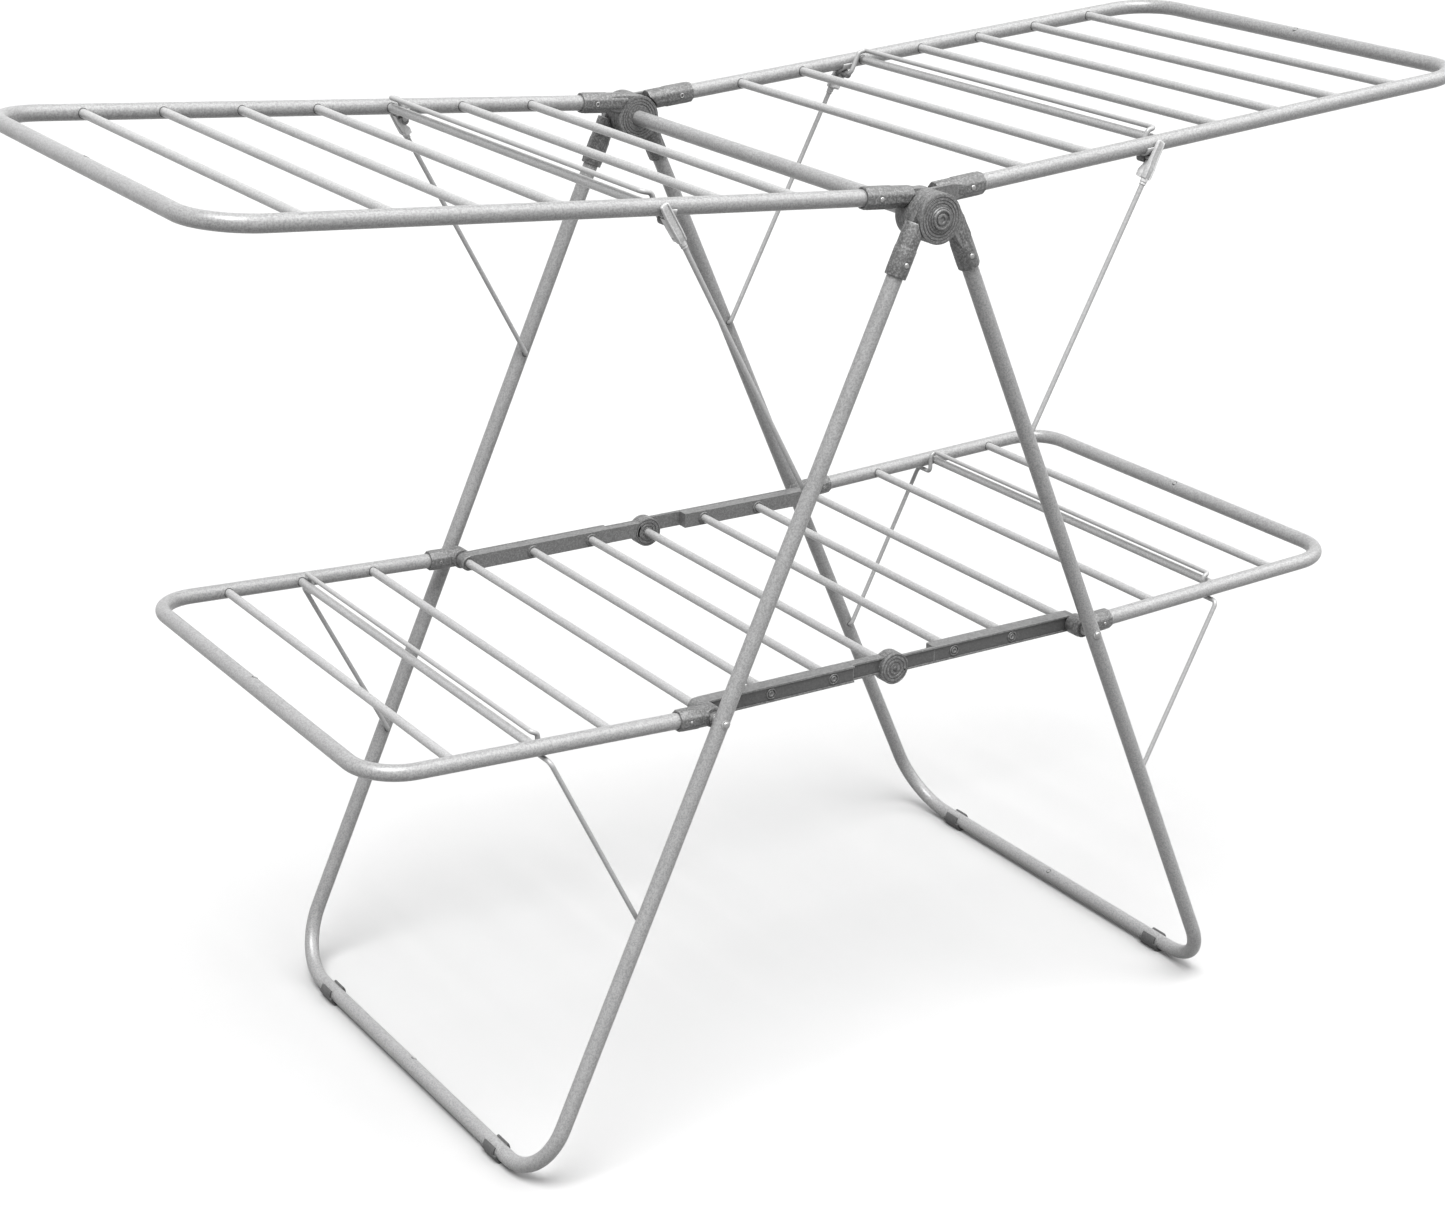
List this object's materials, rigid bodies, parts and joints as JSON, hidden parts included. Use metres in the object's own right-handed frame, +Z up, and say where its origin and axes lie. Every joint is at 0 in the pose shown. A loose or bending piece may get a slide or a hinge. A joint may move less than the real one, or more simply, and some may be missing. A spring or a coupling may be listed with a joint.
{
  "type": "clothes drying rack",
  "caption": "Folding two-tier clothes drying rack with raised side wings, hinged A-frame legs, cross bars and wire braces.",
  "frame": {"origin": "centre of the footprint on the floor", "axes": "+Z up, X along the wings, Y along the cross bars"},
  "size_m": [1.4364, 0.5866, 0.9988],
  "materials": {
    "tube_steel": "satin powder coat",
    "bar_steel": "satin powder coat",
    "wire_steel": "satin powder coat",
    "cap_steel": "satin",
    "clip_plastic": "fine grain",
    "foot_plastic": "fine grain",
    "hub_plastic": "fine grain"
  },
  "bodies": {
    "left_legs": {"foot_left_back": "foot_plastic", "foot_left_front": "foot_plastic", "hub_axle_tube": "tube_steel", "hub_cap_back": "cap_steel", "hub_cap_front": "cap_steel", "hub_leg_left_back": "hub_plastic", "hub_leg_left_front": "hub_plastic", "leg_frame_left": "tube_steel", "pivot_bar_left": "bar_steel"},
    "right_legs": {"foot_right_back": "foot_plastic", "foot_right_front": "foot_plastic", "hub_leg_right_back": "hub_plastic", "hub_leg_right_front": "hub_plastic", "leg_frame_right": "tube_steel", "pivot_bar_right": "bar_steel"},
    "left_top_wing": {"clip_left_back": "clip_plastic", "clip_left_front": "clip_plastic", "hub_wing_left_back": "hub_plastic", "hub_wing_left_front": "hub_plastic", "top_bar_left_1": "bar_steel", "top_bar_left_2": "bar_steel", "top_bar_left_3": "bar_steel", "top_bar_left_4": "bar_steel", "top_bar_left_5": "bar_steel", "top_bar_left_6": "bar_steel", "top_bar_left_7": "bar_steel", "top_wing_left": "tube_steel"},
    "left_lower_wing": {"connector_left_back": "hub_plastic", "connector_left_front": "hub_plastic", "lower_wing_left": "tube_steel"},
    "left_top_brace": {"brace_top_left": "wire_steel"},
    "left_lower_brace": {"brace_lower_left": "wire_steel"},
    "left_centre_arms": {"arm_left_back": "hub_plastic", "arm_left_front": "hub_plastic", "centre_bar_left_1": "bar_steel", "centre_bar_left_2": "bar_steel", "centre_bar_middle": "bar_steel"},
    "right_top_wing": {"clip_right_back": "clip_plastic", "clip_right_front": "clip_plastic", "hub_wing_right_back": "hub_plastic", "hub_wing_right_front": "hub_plastic", "top_bar_right_1": "bar_steel", "top_bar_right_2": "bar_steel", "top_bar_right_3": "bar_steel", "top_bar_right_4": "bar_steel", "top_bar_right_5": "bar_steel", "top_bar_right_6": "bar_steel", "top_bar_right_7": "bar_steel", "top_wing_right": "tube_steel"},
    "right_lower_wing": {"connector_right_back": "hub_plastic", "connector_right_front": "hub_plastic", "lower_wing_right": "tube_steel"},
    "right_top_brace": {"brace_top_right": "wire_steel"},
    "right_lower_brace": {"brace_lower_right": "wire_steel"},
    "right_centre_arms": {"arm_right_back": "hub_plastic", "arm_right_front": "hub_plastic", "centre_bar_right_1": "bar_steel", "centre_bar_right_2": "bar_steel"}
  },
  "joints": [
    {"name": "legs_fold", "type": "hinge", "parent": "left_legs", "child": "right_legs", "pos_m": [0, 0, 0.922], "axis": [0, 1, 0], "range_deg": [0, 44]},
    {"name": "left_top_wing_fold", "type": "hinge", "parent": "left_legs", "child": "left_top_wing", "pos_m": [0, 0, 0.922], "axis": [0, -1, 0], "range_deg": [0, 53]},
    {"name": "left_lower_wing_fold", "type": "hinge", "parent": "left_legs", "child": "left_lower_wing", "pos_m": [-0.2279, 0, 0.4635], "axis": [0, -1, 0], "range_deg": [0, 52]},
    {"name": "left_top_brace_swing", "type": "hinge", "parent": "left_legs", "child": "left_top_brace", "pos_m": [-0.13186, 0, 0.6755], "axis": [0, -1, 0], "range_deg": [0, 26.5]},
    {"name": "left_lower_brace_swing", "type": "hinge", "parent": "left_legs", "child": "left_lower_brace", "pos_m": [-0.315, 0, 0.2712], "axis": [0, -1, 0], "range_deg": [0, 1.06]},
    {"name": "left_arms_fold", "type": "hinge", "parent": "left_legs", "child": "left_centre_arms", "pos_m": [-0.2279, 0, 0.4635], "axis": [0, -1, 0], "range_deg": [0, 59.2]},
    {"name": "right_top_wing_fold", "type": "hinge", "parent": "right_legs", "child": "right_top_wing", "pos_m": [0, 0, 0.922], "axis": [0, 1, 0], "range_deg": [0, 53]},
    {"name": "right_lower_wing_fold", "type": "hinge", "parent": "right_legs", "child": "right_lower_wing", "pos_m": [0.2279, 0, 0.4635], "axis": [0, 1, 0], "range_deg": [0, 52]},
    {"name": "right_top_brace_swing", "type": "hinge", "parent": "right_legs", "child": "right_top_brace", "pos_m": [0.13186, 0, 0.6755], "axis": [0, 1, 0], "range_deg": [0, 26.5]},
    {"name": "right_lower_brace_swing", "type": "hinge", "parent": "right_legs", "child": "right_lower_brace", "pos_m": [0.315, 0, 0.2712], "axis": [0, 1, 0], "range_deg": [0, 1.06]},
    {"name": "right_arms_fold", "type": "hinge", "parent": "right_legs", "child": "right_centre_arms", "pos_m": [0.2279, 0, 0.4635], "axis": [0, 1, 0], "range_deg": [0, 59.2]}
  ],
  "couplings": [
    {"joint": "left_lower_wing_fold", "follows": "left_top_wing_fold", "ratio": 0.98113},
    {"joint": "left_top_brace_swing", "follows": "left_top_wing_fold", "ratio": 0.5},
    {"joint": "left_lower_brace_swing", "follows": "left_top_wing_fold", "ratio": 0.019999},
    {"joint": "left_arms_fold", "follows": "legs_fold", "ratio": 1.3455},
    {"joint": "right_lower_wing_fold", "follows": "right_top_wing_fold", "ratio": 0.98113},
    {"joint": "right_top_brace_swing", "follows": "right_top_wing_fold", "ratio": 0.5},
    {"joint": "right_lower_brace_swing", "follows": "right_top_wing_fold", "ratio": 0.019999},
    {"joint": "right_arms_fold", "follows": "legs_fold", "ratio": 1.3455}
  ]
}
